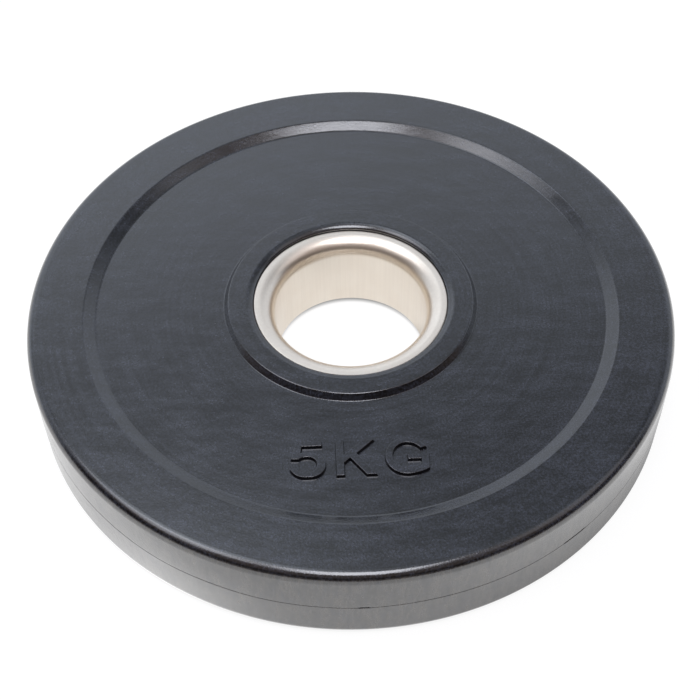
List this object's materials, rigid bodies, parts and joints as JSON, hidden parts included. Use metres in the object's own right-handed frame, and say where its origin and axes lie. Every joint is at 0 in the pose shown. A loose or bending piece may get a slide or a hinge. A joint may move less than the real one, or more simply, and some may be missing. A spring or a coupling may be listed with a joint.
{
  "type": "rubber coated weight plate",
  "caption": "Round rubber coated weight plate with raised rims, recessed webs, a raised hub boss and a flanged steel bore that slides on a bar.",
  "frame": {"origin": "on the bore's axis, at the plane of the rear rim face that the plate lies on", "axes": "+Z along the bore from the rear face to the front face; -Y points at the near edge, where the front face's weight mark reads upright; +X to the mark's right"},
  "size_m": [0.2122, 0.2122, 0.0315],
  "materials": {
    "coat_rubber": "moulded satin",
    "core_iron": "as cast",
    "hub_steel": "turned satin"
  },
  "bodies": {
    "root": {"cast_iron_core": "core_iron", "front_rubber_shell": "coat_rubber", "rear_rubber_shell": "coat_rubber", "hub_sleeve": "hub_steel", "front_hub_ring": "hub_steel", "rear_hub_ring": "hub_steel"}
  },
  "joints": []
}
